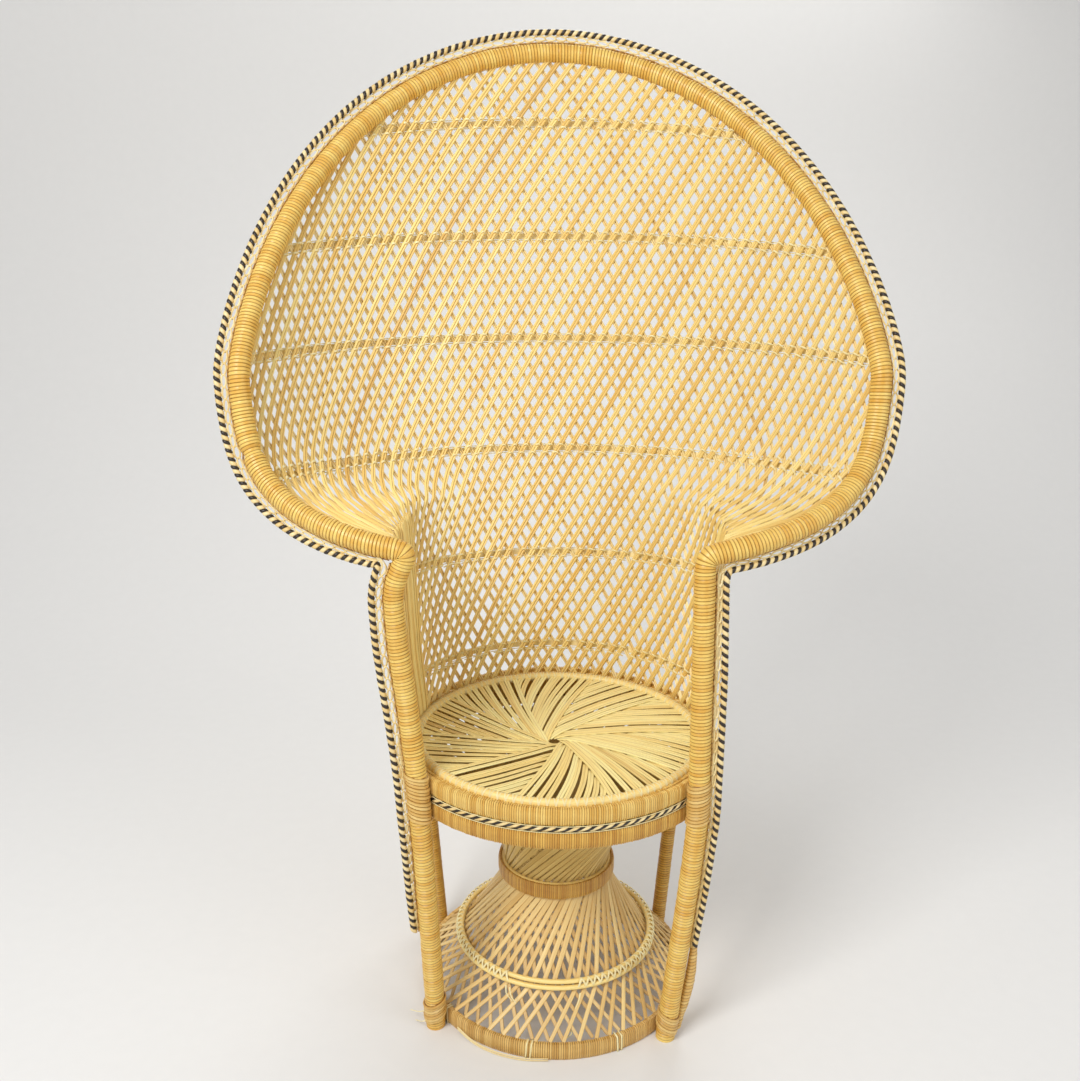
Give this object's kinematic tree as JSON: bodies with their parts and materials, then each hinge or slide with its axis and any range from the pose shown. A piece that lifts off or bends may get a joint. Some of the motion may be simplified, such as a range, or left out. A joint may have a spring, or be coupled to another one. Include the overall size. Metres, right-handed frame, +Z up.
{
  "type": "peacock chair",
  "caption": "High-backed rattan chair: a fan-shaped lattice back in a wrapped hoop, a round pinwheel seat and an hourglass pedestal.",
  "frame": {"origin": "centre of the chair's footprint box, on the floor", "axes": "+Z up, the sitter faces -Y, X runs across the seat"},
  "size_m": [0.9863, 0.6118, 1.5016],
  "materials": {
    "cane_wrap": "satin wrapped cane over a bent rattan pole",
    "split_reed": "satin split rattan reed",
    "golden_cane": "satin cane wrap, darker golden brown",
    "two_tone_rope": "cane wrap in alternating natural and black",
    "bare_rattan": "bare rattan cane"
  },
  "bodies": {
    "root": {"fan_hoop": "cane_wrap", "front_post_left": "cane_wrap", "front_post_right": "cane_wrap", "waist_band": "cane_wrap", "base_ring": "cane_wrap", "seat_sector_1": "split_reed", "seat_sector_2": "split_reed", "seat_sector_3": "split_reed", "seat_sector_4": "split_reed", "seat_sector_5": "split_reed", "seat_sector_6": "split_reed", "seat_sector_7": "split_reed", "seat_sector_8": "split_reed", "seat_sector_9": "split_reed", "seat_sector_10": "split_reed", "pedestal_lower_reeds": "split_reed", "pedestal_neck_reeds": "split_reed", "back_reeds": "split_reed", "back_band_1": "split_reed", "back_band_2": "split_reed", "back_band_3": "split_reed", "back_band_4": "split_reed", "back_band_5": "split_reed", "back_band_6": "split_reed", "seat_upper_band": "golden_cane", "seat_lower_band": "golden_cane", "seat_braid": "two_tone_rope", "fan_border": "two_tone_rope", "rear_leg_left": "bare_rattan", "rear_leg_right": "bare_rattan", "seat_inner_hoop": "bare_rattan", "seat_rim": "bare_rattan", "mid_ring_lower": "bare_rattan", "mid_ring_upper": "bare_rattan"}
  },
  "joints": []
}
